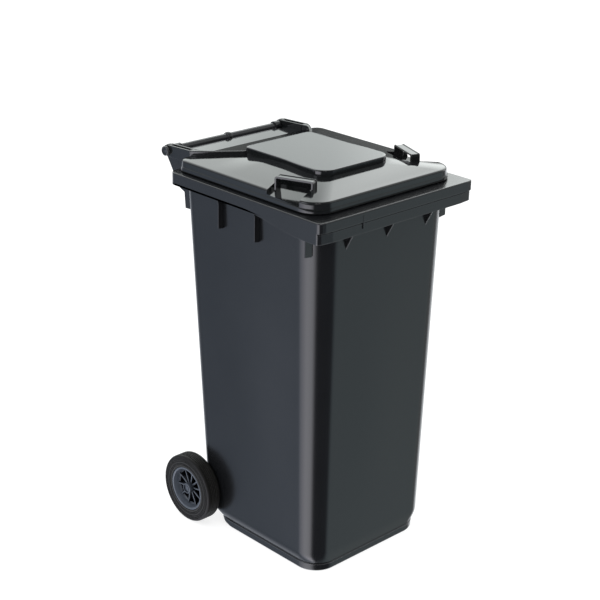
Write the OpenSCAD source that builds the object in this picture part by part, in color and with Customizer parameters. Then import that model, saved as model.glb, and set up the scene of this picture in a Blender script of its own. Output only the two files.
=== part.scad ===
// Two-wheeled refuse container: a tapered moulded body with a lifting comb
// across the front, a hinged lid with two grip loops, and two spoked wheels
// with solid tyres on a plain steel axle.
// Frame: +X is the container's right seen from the front, the front faces -Y,
// +Z is up. The origin is on the floor, midway between the comb's front face
// and the back of the hinge eyes. All sizes are in millimetres.

/* [Overall size] */
// Width over the rim
rim_w = 566; // [550:2:586]
// Depth from the comb's front face to the back of the hinge eyes
depth = 686; // [676:2:700]
// Height of the rim's top face above the floor
rim_z = 1044; // [1030:2:1060]
// Wall thickness of the moulded body and lid
wall = 4; // [3.5:0.1:4.5]

/* [Wheels] */
// Tyre diameter
wheel_d = 200; // [196:2:204]
// Tyre width
tyre_w = 46; // [42:1:48]
// Axle diameter
axle_d = 20; // [18:1:22]
// Number of spokes in each wheel
spokes = 10; // [8:1:12]

/* [Lid] */
// Height of the lid's edge above its lower lip
lid_edge_h = 30; // [26:1:34]
// Rise of the lid's sloping top from its edge to the raised panel
lid_rise = 16; // [12:1:18]
// Height of the raised centre panel
panel_h = 17; // [12:1:20]

/* [Hidden] */

eps = 0.02;           // overlap that keeps a cut from leaving a skin
play = 0.05;          // radial running clearance of a shaft in its hole
taper_fn = 64;        // facets per circle on the tapered shells

// colours
body_grey = [0.21, 0.22, 0.24];
lid_grey = [0.19, 0.20, 0.22];
wheel_grey = [0.36, 0.38, 0.42];
tyre_black = [0.12, 0.12, 0.11];
bar_grey = [0.30, 0.31, 0.33];
steel = [0.60, 0.61, 0.62];

// rim
half_w = rim_w / 2;
front_y = -depth / 2;
eye_r = 19;                    // hinge eyes on lid arms and body brackets
hinge_y = depth / 2 - eye_r;
hinge_z = rim_z + 26;
rim_rear_y = hinge_y - 85;
flange_t = wall;               // horizontal flange at the top
skirt_t = 3.5;                 // hanging edge of the flange
side_skirt_h = 32;             // height of the rim band along the sides
comb_h = 57;                   // height of the comb across the front
curve_front_y = front_y + 48;  // the band deepens to the comb between these
curve_rear_y = front_y + 293;
groove_z = rim_z - 30;         // groove between the comb's two bands
groove_h = 3;
comb_inset = 2;                // lower band set back from the upper one

// tapered walls: half width, front face, rear face and corner radii
function wall_half(z) = half_w - 60.7 + 0.0263 * (z - 60);
function wall_front(z) = front_y + 60 - 0.0193 * (z - 60);
function wall_rear(z) = rim_rear_y - 67 + 0.0509 * (z - 60);
function front_corner(z) = 58 + 0.0145 * (z - 60);
rear_corner = 35;

// foot
foot_h = 24;
foot_half = half_w - 71.5;
foot_front_y = front_y + 62;
foot_rear_y = front_y + 460;
foot_corner = 66;
heel_z = 70;                   // height where the sloping heel meets the wall

// hinge brackets, handle bar and pins
bracket_in = 172;
bracket_out = 194;
arm_in = 196;
arm_out = 220;
bar_r = 11;
pin_r = 8;
pin_head_r = 15.5;
pin_head_t = 8;
pin_depth = 46;                // length of pin inside the bar
mid_lug_r = 15;
mid_lug_w = 14;

// wheels and axle
wheel_r = wheel_d / 2;
axle_r = axle_d / 2;
axle_y = rim_rear_y - 48.5;
tyre_in = half_w - 54;         // inner face of the tyre
tyre_out = tyre_in + tyre_w;
rim_r = 66;                    // seat of the tyre on the wheel
lip_r = 64.5;
dish_r = 48;                   // inside of the spoke ring
dish_depth = 9;                // spokes are set back from the rim's lip
hub_r = 15.5;
hub_in = tyre_in - 2;
hub_out = tyre_out - 5;
lug_r = 20;
lug_w = 26;
lug_out = hub_in - 5;
washer_r = 15;
clip_t = 2;
cap_r = 12.6;                  // counterbore of the hub, closed by the cap
cap_t = 3;
clip_x = hub_out - cap_t - 4 - clip_t;
axle_end = clip_x + clip_t + 3;
groove_r = axle_r - 1.4;

// lid
lid_gap = 2;                   // open line between rim and lid
lid_z = rim_z + lid_gap;
lid_edge_z = lid_z + lid_edge_h;
lid_top_z = lid_edge_z + lid_rise;
panel_z = lid_top_z + panel_h;
lid_half = half_w - 20;
lid_half_top = lid_half - 7;
lid_front_y = front_y + 40;
lid_rear_y = rim_rear_y - 9;
lid_corner = 62;
lid_rear_corner = 30;
panel_half = 127;
panel_front_y = lid_front_y + 118;
panel_rear_y = panel_front_y + 312;
panel_corner = 48;

// grip loops: a strap over a finger pocket, turned in plan
grip_x = 208;
grip_y = front_y + 170;
grip_turn = 21.7;
strap_l = 106;
strap_w = 27;
strap_t = 5;
strap_top_z = panel_z - 3;
pocket_u = [-57, 32];          // pocket ends along the strap
pocket_v = -38;                // pocket's inner edge across the strap
pocket_z = lid_z + 19;

// ---------------------------------------------------------------- helpers

// Rounded rectangle in plan from y0 (front) to y1 (rear).
module plan(half, y0, y1, rf, rr) {
  translate([-half, y0 + rf]) square([2 * half, y1 - y0 - rf - rr]);
  translate([-half + rf, y0]) square([2 * (half - rf), rf + eps]);
  translate([-half + rr, y1 - rr - eps]) square([2 * (half - rr), rr + eps]);
  for (s = [-1, 1]) {
    translate([s * (half - rf), y0 + rf]) circle(r = rf);
    translate([s * (half - rr), y1 - rr]) circle(r = rr);
  }
}

// Thin slab of the plan at height z, used as one end of a tapered shell.
module slab(z, half, y0, y1, rf, rr) {
  translate([0, 0, z]) linear_extrude(eps) plan(half, y0, y1, rf, rr, $fn = taper_fn);
}

// Slab following the body's tapering wall, moved inward by inset.
module wall_slab(z, inset) {
  slab(z, wall_half(z) - inset, wall_front(z) + inset, wall_rear(z) - inset,
       front_corner(z) - inset, rear_corner - inset);
}

// Slab at the bottom of the sloping heel, moved inward by inset.
module heel_slab(z, inset) {
  slab(z, foot_half + 2 - inset, foot_front_y - 2 + inset, foot_rear_y - inset,
       foot_corner - inset, rear_corner - inset);
}

// Plate lying in the Y-Z plane: children are drawn in (y, z), thick from x0 to x1.
module side_plate(x0, x1) {
  translate([x0, 0, 0]) rotate([90, 0, 90]) linear_extrude(x1 - x0) children();
}

// Plate lying in the X-Z plane: children are drawn in (x, z), centred on y.
module cross_plate(y, t) {
  translate([0, y + t / 2, 0]) rotate([90, 0, 0]) linear_extrude(t) children();
}

// Cylinder along X from x0 to x1.
module x_cyl(r, x0, x1) {
  translate([x0, 0, 0]) rotate([0, 90, 0]) cylinder(r = r, h = x1 - x0, $fn = 96);
}

module at_hinge() { translate([0, hinge_y, hinge_z]) children(); }
module at_axle() { translate([0, axle_y, wheel_r]) children(); }
module both_sides() {
  children();
  mirror([1, 0, 0]) children();
}

// ------------------------------------------------------------------- body

module tub_outer() {
  linear_extrude(foot_h + 6)
    plan(foot_half, foot_front_y, foot_rear_y - 16, foot_corner, rear_corner, $fn = 96);
  hull() {
    heel_slab(foot_h, 0);
    wall_slab(heel_z, 0);
    wall_slab(rim_z - 1, 0);
  }
}

module tub_inner() {
  hull() {
    heel_slab(foot_h + wall, wall + 4);
    wall_slab(heel_z + wall, wall);
    wall_slab(rim_z + 1, wall);
  }
  // hollow of the foot, above its floor
  translate([0, 0, wall]) linear_extrude(foot_h + 3)
    plan(foot_half - wall - 3, foot_front_y + wall + 3, foot_rear_y - 23 - wall,
         foot_corner - wall - 3, rear_corner - wall - 3, $fn = 96);
}

// Outline of the rim: square comb corners in front, small radii behind.
module rim_plan(inset) {
  chamfer = 46;
  set_back = 5;
  rear_r = 25;
  h = half_w - inset;
  f = front_y + inset;
  translate([-h, f + set_back]) square([2 * h, rim_rear_y - inset - rear_r - f - set_back]);
  translate([-h + rear_r, rim_rear_y - inset - rear_r - eps])
    square([2 * (h - rear_r), rear_r + eps]);
  for (s = [-1, 1])
    translate([s * (h - rear_r), rim_rear_y - inset - rear_r]) circle(r = rear_r, $fn = 96);
  polygon([
    [-h, f + set_back + eps], [-h, f + set_back], [-h + chamfer, f],
    [h - chamfer, f], [h, f + set_back], [h, f + set_back + eps]
  ]);
}

// Everything below the rim band's lower edge, which sweeps down to the comb.
module below_band() {
  steps = 16;
  low = rim_z - comb_h;
  high = rim_z - side_skirt_h;
  span = curve_rear_y - curve_front_y;
  side_plate(-half_w - 1, half_w + 1) polygon(concat(
    [[front_y - 1, 0], [front_y - 1, low]],
    [for (i = [0:steps])
      [curve_front_y + span * i / steps, low + (high - low) * (1 - cos(180 * i / steps)) / 2]],
    [[rim_rear_y + 1, high], [rim_rear_y + 1, 0]]
  ));
}

// Flange and hanging band round the rim; the band is hollow up to the wall.
module rim_flange() {
  difference() {
    translate([0, 0, rim_z - comb_h - 1]) linear_extrude(comb_h + 1) rim_plan(0);
    difference() {
      translate([0, 0, rim_z - comb_h - 2]) linear_extrude(comb_h + 2 - flange_t)
        rim_plan(skirt_t + comb_inset);
      translate([0, 0, rim_z - comb_h - 3]) linear_extrude(comb_h + 3) wall_core();
    }
    below_band();
    comb_relief();
  }
}

// Plan inside the thickness of the wall, all the way down the rim band.
module wall_core() {
  inset = wall - 1;
  plan(wall_half(rim_z) - inset, wall_front(rim_z) + inset, wall_rear(rim_z) - inset,
       front_corner(rim_z) - inset, rear_corner - inset, $fn = taper_fn);
}

// Groove and set-back lower band on the comb's front face.
module comb_relief() {
  translate([-half_w + 46, front_y - 1, groove_z])
    cube([rim_w - 52, 1 + comb_inset + 1.5, groove_h]);
  translate([-half_w - 1, front_y - 1, rim_z - comb_h - 2])
    cube([rim_w + 2, 1 + comb_inset, groove_z - rim_z + comb_h + 2 + eps]);
}

// Vertical webs inside the comb that make its row of lifting pockets.
module comb_webs() {
  pitch = 37;
  web_t = 3;
  rear = wall_front(rim_z) + 2;
  for (i = [-6:6])
    side_plate(i * pitch - web_t / 2, i * pitch + web_t / 2)
      translate([front_y + skirt_t + 1, rim_z - 38]) square([rear - front_y - skirt_t - 1, 36]);
}

// Three gussets between the comb's lower edge and the front wall.
module comb_gussets() {
  top = rim_z - comb_h + 12;
  for (x = [-148, 0, 148])
    side_plate(x - 2, x + 2) polygon([
      [front_y + 5, top], [front_y + 5, rim_z - comb_h + 1],
      [wall_front(940) + 1, 938], [wall_front(940) + 2, top]
    ]);
}

// Rib that props the side band off the wall; root is the half width it starts from.
module side_rib(y, root, bottom) {
  t = 4;
  out = half_w - 22;
  cross_plate(y, t) polygon([
    [root, bottom], [out, bottom + 3], [out, rim_z - 52], [out + 3, rim_z - 44],
    [half_w - 7, rim_z - 36], [half_w - 3, rim_z - 30], [half_w - 3, rim_z - 2], [root, rim_z - 2]
  ]);
}

module side_ribs() {
  both_sides() {
    side_rib(front_y + 405, wall_half(920) - 2, 920);
    side_rib(front_y + 263, wall_half(920) - 2, 920);
    side_rib(front_y + 75, wall_half(930) - 8, 930);
  }
}

// Bracket that carries the handle bar and the hinge, drawn in (y, z).
module bracket_profile(r) {
  root = wall_rear(960) - 2;
  polygon([
    [root, 924], [root + 40, 921], [root + 46, 966],
    [hinge_y + r * cos(-32), hinge_z + r * sin(-32)],
    [hinge_y - r * sin(12), hinge_z + r * cos(12)],
    [rim_rear_y - 4, rim_z], [wall_rear(rim_z) - 2, rim_z], [wall_rear(rim_z) - 2, rim_z - 20]
  ]);
  translate([hinge_y, hinge_z]) circle(r = r, $fn = 96);
}

module hinge_brackets() {
  both_sides() side_plate(bracket_in, bracket_out) bracket_profile(eye_r - 1);
  side_plate(-mid_lug_w / 2, mid_lug_w / 2) bracket_profile(mid_lug_r);
  // plates at the rear corners, below the rim
  both_sides() side_plate(bracket_out - 1, bracket_out + 12) polygon([
    [wall_rear(925) - 2, 924], [wall_rear(925) + 40, 921], [wall_rear(925) + 44, 966],
    [rim_rear_y + 12, rim_z - side_skirt_h - 6], [rim_rear_y - 6, rim_z - 2],
    [wall_rear(rim_z) - 2, rim_z - 2]
  ]);
}

// Lugs behind the rear wall that hold the axle.
module axle_lugs() {
  for (x0 = [lug_out - lug_w, 62])
    both_sides() side_plate(x0, x0 + lug_w) {
      translate([axle_y, wheel_r]) circle(r = lug_r, $fn = 96);
      polygon([
        [wall_rear(170) - 2, 170], [axle_y + lug_r * cos(35), wheel_r + lug_r * sin(35)],
        [axle_y + lug_r * cos(-60), wheel_r + lug_r * sin(-60)],
        [wall_rear(heel_z) - 2, heel_z + 2]
      ]);
    }
}

module body() {
  color(body_grey) difference() {
    union() {
      tub_outer();
      rim_flange();
      comb_webs();
      comb_gussets();
      side_ribs();
      hinge_brackets();
      axle_lugs();
    }
    tub_inner();
    at_hinge() x_cyl(bar_r + play, -bracket_out - 15, bracket_out + 15);
    at_axle() x_cyl(axle_r + play, -half_w, half_w);
  }
}

// -------------------------------------------------------------- handle bar

module handle_bar() {
  color(bar_grey) at_hinge() difference() {
    x_cyl(bar_r, -bracket_out, bracket_out);
    both_sides() x_cyl(pin_r, bracket_out - pin_depth, bracket_out + 1);
  }
}

// Hinge pin: a round head outside the lid's arm and a shank plugged into the bar.
module hinge_pin() {
  color(body_grey) at_hinge() {
    x_cyl(pin_r, bracket_out - pin_depth + 1, arm_out + 1);
    difference() {
      x_cyl(pin_head_r, arm_out + 0.5, arm_out + 0.5 + pin_head_t);
      x_cyl(pin_head_r - 3, arm_out + pin_head_t - 0.7, arm_out + pin_head_t + 1);
    }
  }
}

module hinge_pin_right() { hinge_pin(); }
module hinge_pin_left() { mirror([1, 0, 0]) hinge_pin(); }

// --------------------------------------------------------------------- lid

module lid_edge_slab(z, half, front, inset) {
  slab(z, half - inset, front + inset, lid_rear_y - inset, lid_corner - inset,
       lid_rear_corner - inset);
}

// Sloping top: a smaller slab that widens to the rear.
module lid_crown_slab(z, inset) {
  slab(z, panel_half + 8 - inset, panel_front_y - 6 + inset, lid_rear_y - 6 - inset, 30, 20);
}

module lid_outer() {
  hull() {
    lid_edge_slab(lid_z, lid_half, lid_front_y, 0);
    lid_edge_slab(lid_edge_z, lid_half_top, lid_front_y + 7, 0);
    lid_crown_slab(lid_top_z, 0);
  }
}

module lid_inner() {
  hull() {
    lid_edge_slab(lid_z - 1, lid_half, lid_front_y, wall);
    lid_edge_slab(lid_edge_z - wall, lid_half_top, lid_front_y + 7, wall);
    lid_crown_slab(lid_top_z - wall, 0);
  }
}

// Box in the frame of the right grip: u runs along the strap, v across it outward.
module grip_box(u0, u1, v0, v1, z0, z1) {
  translate([grip_x, grip_y, 0]) rotate([0, 0, -90 - grip_turn])
    translate([u0, v0, z0]) cube([u1 - u0, v1 - v0, z1 - z0]);
}

module pocket_tray() {
  grip_box(pocket_u[0] - wall, pocket_u[1] + wall, pocket_v - wall, 120, pocket_z - wall, panel_z);
}

module pocket_cut() {
  grip_box(pocket_u[0], pocket_u[1], pocket_v, 120, pocket_z, panel_z);
}

// Strap of a grip loop: a flat-topped arch on two legs.
module grip_strap() {
  h = strap_top_z - lid_edge_z + 2;
  r = 7;
  translate([grip_x, grip_y, lid_edge_z - 2]) rotate([0, 0, -90 - grip_turn])
    translate([0, strap_w / 2 - 4, 0]) rotate([90, 0, 0]) linear_extrude(strap_w) difference() {
      strap_profile(strap_l, h, r);
      translate([0, -eps]) strap_profile(strap_l - 2 * strap_t, h - strap_t, r - strap_t + 1);
    }
}

module strap_profile(l, h, r) {
  translate([-l / 2, 0]) square([l, h - r]);
  translate([-l / 2 + r, 0]) square([l - 2 * r, h]);
  for (s = [-1, 1]) translate([s * (l / 2 - r), h - r]) circle(r = r, $fn = 48);
}

// Raised band from the panel's rear corner to the hinge arm.
module lid_ridge() {
  front_z = panel_z - 3;
  rear_z = hinge_z + eye_r;
  hull() {
    translate([0, 0, lid_top_z - 8]) linear_extrude(front_z - lid_top_z + 8)
      polygon([[panel_half - 6, panel_rear_y - 34], [panel_half + 19, panel_rear_y - 18],
               [panel_half - 6, panel_rear_y - 2]]);
    translate([0, 0, lid_edge_z - 4]) linear_extrude(rear_z - lid_edge_z + 4)
      polygon([[arm_in, lid_rear_y - 14], [arm_out, lid_rear_y - 14],
               [arm_out, lid_rear_y], [arm_in, lid_rear_y]]);
  }
}

module lid_arm() {
  side_plate(arm_in, arm_out) {
    translate([hinge_y, hinge_z]) circle(r = eye_r, $fn = 96);
    polygon([
      [lid_rear_y - 12, lid_edge_z - 12], [hinge_y - eye_r * sin(10), hinge_z - eye_r * cos(10)],
      [hinge_y, hinge_z + eye_r], [lid_rear_y - 12, hinge_z + eye_r]
    ]);
  }
}

module lid_panel(inset) {
  plan(panel_half - inset, panel_front_y + inset, panel_rear_y - inset,
       panel_corner - inset, 24 - inset, $fn = 96);
}

module lid() {
  color(lid_grey) difference() {
    union() {
      difference() {
        lid_outer();
        difference() {
          lid_inner();
          both_sides() pocket_tray();
        }
      }
      translate([0, 0, lid_top_z - wall]) linear_extrude(panel_h + wall) lid_panel(0);
      both_sides() {
        lid_ridge();
        lid_arm();
      }
    }
    translate([0, 0, lid_top_z - wall - 1]) linear_extrude(panel_h + 1) lid_panel(wall);
    both_sides() pocket_cut();
    at_hinge() both_sides() x_cyl(pin_r + play, arm_in - 1, arm_out + 1);
  }
  color(lid_grey) both_sides() grip_strap();
}

// ------------------------------------------------------------ axle, wheels

// Steel axle with a groove near each end for the retaining clip.
module axle() {
  color(steel) at_axle() difference() {
    x_cyl(axle_r, -axle_end, axle_end);
    both_sides() difference() {
      x_cyl(axle_r + 1, clip_x, clip_x + clip_t);
      x_cyl(groove_r, clip_x - 1, clip_x + clip_t + 1);
    }
  }
}

// Spacer washer between the body's lug and the hub.
module axle_washer() {
  color(bar_grey) at_axle() difference() {
    x_cyl(washer_r, lug_out + 0.3, hub_in - 0.5);
    x_cyl(axle_r + play, lug_out, hub_in);
  }
}

// Open retaining ring sprung into the axle's groove.
module wheel_clip() {
  gap = 7;
  color(steel) at_axle() difference() {
    x_cyl(axle_r + 1.9, clip_x + 0.2, clip_x + clip_t - 0.2);
    x_cyl(groove_r + play, clip_x, clip_x + clip_t);
    translate([clip_x, -gap / 2, 0]) cube([clip_t, gap, axle_r + 5]);
  }
}

// Profile of the wheel's barrel and dish, drawn as (radius, x from the inner face).
module barrel_profile() {
  w = tyre_w;
  polygon([
    [dish_r, 6], [rim_r - 6, 3], [rim_r, 3], [rim_r, w - 8], [lip_r, w - 4], [lip_r, w - 0.5],
    [lip_r - 3.5, w - 0.5], [lip_r - 6, w - 3], [dish_r + 2, w - dish_depth],
    [dish_r, w - dish_depth]
  ]);
}

module wheel() {
  spoke_t = 4;
  spoke_x = tyre_out - dish_depth - 2;
  color(wheel_grey) at_axle() difference() {
    union() {
      translate([tyre_in, 0, 0]) rotate([0, 90, 0]) rotate_extrude($fn = 128) barrel_profile();
      x_cyl(hub_r, hub_in, hub_out);
      for (i = [0:spokes - 1])
        rotate([i * 360 / spokes + 10, 0, 0])
          translate([tyre_in + 8, -spoke_t / 2, hub_r - 2])
            cube([spoke_x - tyre_in - 8, spoke_t, dish_r + 3 - hub_r + 2]);
    }
    x_cyl(axle_r + play, hub_in - 1, hub_out);
    x_cyl(cap_r, clip_x - 1, hub_out + 1);
  }
}

module tyre() {
  h = tyre_w;
  color(tyre_black) at_axle() translate([tyre_in, 0, 0]) rotate([0, 90, 0])
    rotate_extrude($fn = 128) difference() {
      union() {
        translate([rim_r, 0]) square([wheel_r - 8 - rim_r, h]);
        translate([rim_r, 8]) square([wheel_r - rim_r, h - 16]);
        for (x = [8, h - 8]) translate([wheel_r - 8, x]) circle(r = 8, $fn = 48);
      }
      // tread grooves
      for (x = [0.28, 0.5, 0.72]) translate([wheel_r - 2, h * x - 1]) square([3, 2]);
      // room for the wheel's lip
      translate([rim_r - 1, h - 8]) square([1, 9]);
    }
}

// Disc that closes the hub's mouth.
module hub_cap() {
  color(wheel_grey) at_axle() {
    x_cyl(cap_r, hub_out - cap_t, hub_out);
    x_cyl(6, hub_out - eps, hub_out + 1.2);
  }
}

module axle_washer_right() { axle_washer(); }
module axle_washer_left() { mirror([1, 0, 0]) axle_washer(); }
module wheel_clip_right() { wheel_clip(); }
module wheel_clip_left() { mirror([1, 0, 0]) wheel_clip(); }
module wheel_right() { wheel(); }
module wheel_left() { mirror([1, 0, 0]) wheel(); }
module tyre_right() { tyre(); }
module tyre_left() { mirror([1, 0, 0]) tyre(); }
module hub_cap_right() { hub_cap(); }
module hub_cap_left() { mirror([1, 0, 0]) hub_cap(); }

// ---------------------------------------------------------------- assembly

body();
lid();
handle_bar();
hinge_pin_left();
hinge_pin_right();
axle();
axle_washer_left();
axle_washer_right();
wheel_left();
wheel_right();
tyre_left();
tyre_right();
wheel_clip_left();
wheel_clip_right();
hub_cap_left();
hub_cap_right();
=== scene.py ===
# Looks for a two-wheeled refuse container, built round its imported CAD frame.
# Sizes are millimetres worked out from the boxes of the CAD nodes; MM turns
# them into metres when a mesh is made. +X is the container's right seen from
# the front, the front faces -Y and +Z is up.
import math

import bmesh
import bpy
from mathutils import Matrix, Vector


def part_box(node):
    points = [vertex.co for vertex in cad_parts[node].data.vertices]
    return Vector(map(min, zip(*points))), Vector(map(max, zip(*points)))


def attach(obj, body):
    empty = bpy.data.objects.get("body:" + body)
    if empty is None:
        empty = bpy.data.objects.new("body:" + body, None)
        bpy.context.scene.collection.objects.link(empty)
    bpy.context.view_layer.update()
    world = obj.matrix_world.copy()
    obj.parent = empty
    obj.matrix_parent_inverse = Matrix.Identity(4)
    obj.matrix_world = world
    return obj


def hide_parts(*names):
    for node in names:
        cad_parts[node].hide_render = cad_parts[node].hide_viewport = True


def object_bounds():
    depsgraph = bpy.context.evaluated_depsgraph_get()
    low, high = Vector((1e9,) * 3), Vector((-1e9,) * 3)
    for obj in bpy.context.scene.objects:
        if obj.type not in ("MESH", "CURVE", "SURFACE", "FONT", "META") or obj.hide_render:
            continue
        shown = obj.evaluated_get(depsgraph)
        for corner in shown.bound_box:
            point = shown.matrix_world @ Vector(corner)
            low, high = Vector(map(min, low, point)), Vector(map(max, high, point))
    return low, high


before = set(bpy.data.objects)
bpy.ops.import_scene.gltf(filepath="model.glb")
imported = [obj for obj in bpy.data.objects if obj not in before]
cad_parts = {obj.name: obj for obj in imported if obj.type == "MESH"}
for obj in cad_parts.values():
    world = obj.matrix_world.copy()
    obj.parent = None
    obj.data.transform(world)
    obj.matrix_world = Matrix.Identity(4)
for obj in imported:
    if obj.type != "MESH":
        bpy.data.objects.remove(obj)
cad_low, cad_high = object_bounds()

MM = 0.001
SIDES = {"right": 1, "left": -1}


def box_mm(node):
    """Lowest and highest corner of a CAD node in millimetres."""
    low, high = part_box(node)
    return low / MM, high / MM


body_low, body_high = box_mm("body")
lid_low, lid_high = box_mm("lid")
bar_low, bar_high = box_mm("handle_bar")
axle_low, axle_high = box_mm("axle")
tyre_low, tyre_high = box_mm("tyre_right")
wheel_low, wheel_high = box_mm("wheel_right")
pin_low, pin_high = box_mm("hinge_pin_right")

WALL = 4                # thickness of the moulded walls
LID_GAP = 2             # open line between the rim and the lid
LID_EDGE_H = 30         # height of the lid's skirt
PANEL_H = 17            # rise of the lid's centre panel
HINGE_REACH = 85        # from the rim's rear edge back to the hinge line
EYE_R = 19              # eye of the hinge
BORE_R = 8.05           # hole for a hinge pin
ARM_IN = 196            # inner and outer face of a hinge arm
ARM_OUT = 219
WEB_T = 5.5             # thickness of each of the arm's two webs

HALF_W = body_high.x
FRONT_Y = body_low.y
RIM_Z = lid_low.z - LID_GAP
HINGE_Y = (bar_low.y + bar_high.y) / 2
HINGE_Z = (bar_low.z + bar_high.z) / 2
RIM_REAR_Y = HINGE_Y - HINGE_REACH
AXLE_Y = (axle_low.y + axle_high.y) / 2
AXLE_Z = (axle_low.z + axle_high.z) / 2
PANEL_Z = lid_high.z
LID_Z = lid_low.z
LID_EDGE_Z = LID_Z + LID_EDGE_H
LID_TOP_Z = PANEL_Z - PANEL_H

# ------------------------------------------------------------ mesh helpers


def make_object(name, points, faces):
    """Mesh object from points in millimetres."""
    mesh = bpy.data.meshes.new(name)
    mesh.from_pydata([Vector(p) * MM for p in points], [], faces)
    obj = bpy.data.objects.new(name, mesh)
    bpy.context.scene.collection.objects.link(obj)
    clean(mesh)
    return obj


def clean(mesh):
    """Merges doubled points and turns every face outward."""
    bm = bmesh.new()
    bm.from_mesh(mesh)
    bmesh.ops.remove_doubles(bm, verts=bm.verts, dist=1e-6)
    bmesh.ops.recalc_face_normals(bm, faces=bm.faces)
    bm.to_mesh(mesh)
    bm.free()


def shade(obj, angle=35):
    """Smooth shading that keeps edges sharper than the angle."""
    obj.data.shade_smooth()
    obj.data.set_sharp_from_angle(angle=math.radians(angle))


def round_edges(obj, width, segments=3, angle=30):
    """Rounds every edge sharper than the angle."""
    bevel = obj.modifiers.new("rounded_edges", "BEVEL")
    bevel.width = width * MM
    bevel.segments = segments
    bevel.limit_method = "ANGLE"
    bevel.angle_limit = math.radians(angle)
    bevel.use_clamp_overlap = True
    bevel.harden_normals = True


def finish_piece(obj, material, body, slot, *nodes):
    """Gives a piece its finish, even shading and the CAD body it rides on."""
    even = obj.modifiers.new("even_shading", "WEIGHTED_NORMAL")
    even.keep_sharp = True
    obj.data.materials.clear()
    obj.data.materials.append(material)
    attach(obj, body)
    if nodes:
        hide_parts(*nodes)


def fillet(before, corner, after, radius, steps):
    """Arc of steps + 1 points that rounds one corner of an outline."""
    corner = Vector(corner)
    back = (Vector(before) - corner).normalized()
    ahead = (Vector(after) - corner).normalized()
    half_angle = back.angle(ahead) / 2
    reach = radius / math.tan(half_angle)
    centre = corner + (back + ahead).normalized() * radius / math.sin(half_angle)
    start = corner + back * reach - centre
    end = corner + ahead * reach - centre
    turn = math.atan2(start.x * end.y - start.y * end.x, start.dot(end))
    points = []
    for i in range(steps + 1):
        a = turn * i / steps
        points.append((centre.x + start.x * math.cos(a) - start.y * math.sin(a),
                       centre.y + start.x * math.sin(a) + start.y * math.cos(a)))
    return points


def rounded(corners, steps=5):
    """Closed outline through corners given as (a, b, radius)."""
    points = []
    count = len(corners)
    for i, (a, b, radius) in enumerate(corners):
        if radius == 0:
            points.append((a, b))
            continue
        before = corners[i - 1][:2]
        after = corners[(i + 1) % count][:2]
        points += fillet(before, (a, b), after, radius, steps)
    return points


def circle(a, b, r, steps):
    """Round outline about (a, b)."""
    return [(a + r * math.cos(2 * math.pi * i / steps), b + r * math.sin(2 * math.pi * i / steps))
            for i in range(steps)]


def arc_about(a, b, r, start, end, steps=24):
    """Open arc about (a, b) between two angles in degrees."""
    angles = [math.radians(start + (end - start) * i / steps) for i in range(steps + 1)]
    return [(a + r * math.cos(angle), b + r * math.sin(angle)) for angle in angles]


def eye_arc(r, start, end):
    """Arc about the hinge axis in (y, z), angles in degrees from the rear."""
    return arc_about(HINGE_Y, HINGE_Z, r, start, end)


def side_faces(count, rings):
    """Quads between neighbouring rings of count points each."""
    faces = []
    for k in range(rings - 1):
        for i in range(count):
            n = (i + 1) % count
            faces.append((k * count + i, k * count + n, (k + 1) * count + n, (k + 1) * count + i))
    return faces


def skin(name, rings):
    """Closed solid over rings of equal length with flat ends."""
    count = len(rings[0])
    faces = side_faces(count, len(rings))
    last = (len(rings) - 1) * count
    faces += [tuple(range(count)), tuple(range(last + count - 1, last - 1, -1))]
    return make_object(name, [p for ring in rings for p in ring], faces)


def prism(name, outline, axis, low, high):
    """Solid of an outline swept along one axis from low to high."""
    place = {"X": lambda a, b, c: (c, a, b),
             "Y": lambda a, b, c: (a, c, b),
             "Z": lambda a, b, c: (a, b, c)}[axis]
    return skin(name, [[place(a, b, c) for a, b in outline] for c in (low, high)])


def turned(name, profile, steps):
    """Solid turned about the axle's direction from a closed (x, radius) profile."""
    points = []
    for i in range(steps):
        a = 2 * math.pi * i / steps
        points += [(x, r * math.cos(a), r * math.sin(a)) for x, r in profile]
    count = len(profile)
    faces = []
    for i in range(steps):
        for k in range(count):
            here, ahead = i * count, ((i + 1) % steps) * count
            turn = (k + 1) % count
            if profile[k][1] == 0 and profile[turn][1] == 0:
                continue
            faces.append((here + k, here + turn, ahead + turn, ahead + k))
    return make_object(name, points, faces)


def move(obj, y=0, z=0, side=1):
    """Moves a mesh inside its object, mirrored to the left for side -1."""
    obj.data.transform(Matrix.Translation(Vector((0, y, z)) * MM))
    if side < 0:
        obj.data.transform(Matrix.Scale(-1, 4, (1, 0, 0)))
        obj.data.flip_normals()


def join(name, objects):
    """One object holding several closed solids."""
    bm = bmesh.new()
    graph = bpy.context.evaluated_depsgraph_get()
    for obj in objects:
        part = obj.evaluated_get(graph).to_mesh()
        bm.from_mesh(part)
    mesh = bpy.data.meshes.new(name)
    bm.to_mesh(mesh)
    bm.free()
    for obj in objects:
        bpy.data.objects.remove(obj)
    whole = bpy.data.objects.new(name, mesh)
    bpy.context.scene.collection.objects.link(whole)
    return whole


def cut_away(obj, tools):
    """Cuts the tool objects out of a mesh and removes them."""
    for tool in tools:
        step = obj.modifiers.new("shape", "BOOLEAN")
        step.operation = "DIFFERENCE"
        step.solver = "MANIFOLD"
        step.object = tool
    graph = bpy.context.evaluated_depsgraph_get()
    mesh = bpy.data.meshes.new_from_object(obj.evaluated_get(graph))
    obj.modifiers.clear()
    obj.data = mesh
    for tool in tools:
        bpy.data.objects.remove(tool)


def bore_hinge(obj, low, high):
    """Cuts the hinge pin's hole through a plate that lies between low and high."""
    margin = 5
    bore = prism("bore", circle(HINGE_Y, HINGE_Z, BORE_R, 48), "X", low - margin, high + margin)
    cut_away(obj, [bore])


# ---------------------------------------------------- lofts in plan outline

FRONT_STEPS = 10
CORNER_STEPS = 24
SIDE_STEPS = 40
REAR_CORNER_STEPS = 10
REAR_STEPS = 8


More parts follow.
